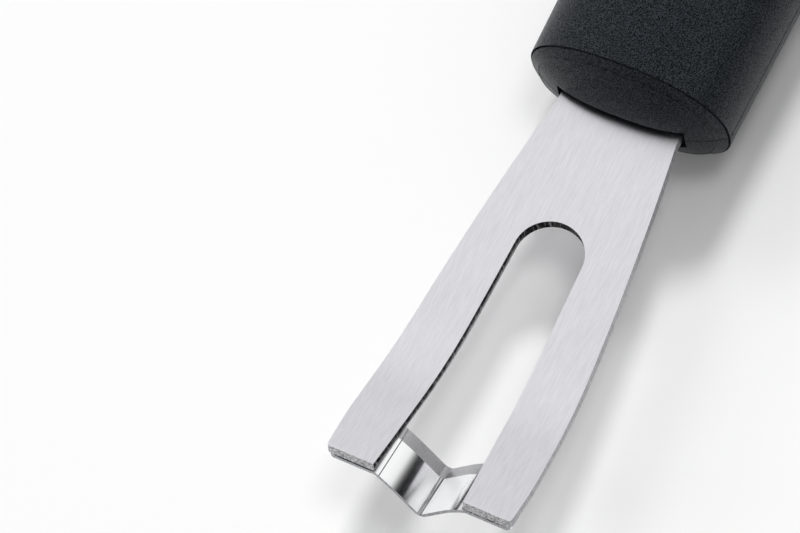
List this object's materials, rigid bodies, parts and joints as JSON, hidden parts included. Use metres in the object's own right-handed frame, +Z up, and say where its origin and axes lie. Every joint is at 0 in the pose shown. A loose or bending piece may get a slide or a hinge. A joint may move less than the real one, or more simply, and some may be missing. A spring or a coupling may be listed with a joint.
{
  "type": "channel knife",
  "caption": "Channel knife: cranked steel fork with a bent V cutter welded under its tines, in an oval black plastic handle, pulled over citrus or vegetables to cut grooves and peel twists.",
  "frame": {"origin": "under the middle of the knife's length and width, at the level of the handle's belly", "axes": "+Z up, square to the flat of the blade on its upper side; +Y along the knife from the cutter to the butt of the handle; X across the blade"},
  "size_m": [0.0246, 0.1592, 0.0184],
  "materials": {
    "brushed_plate": "fine brushing along the blade",
    "polished_strip": "polished, with a matt ground bevel at the cutting edge",
    "weld_metal": "rough weld metal",
    "black_plastic": "fine spark-eroded texture"
  },
  "bodies": {
    "root": {"fork_blade": "brushed_plate", "v_cutter": "polished_strip", "weld_left_front": "weld_metal", "weld_left_rear": "weld_metal", "weld_right_front": "weld_metal", "weld_right_rear": "weld_metal", "handle": "black_plastic"}
  },
  "joints": []
}
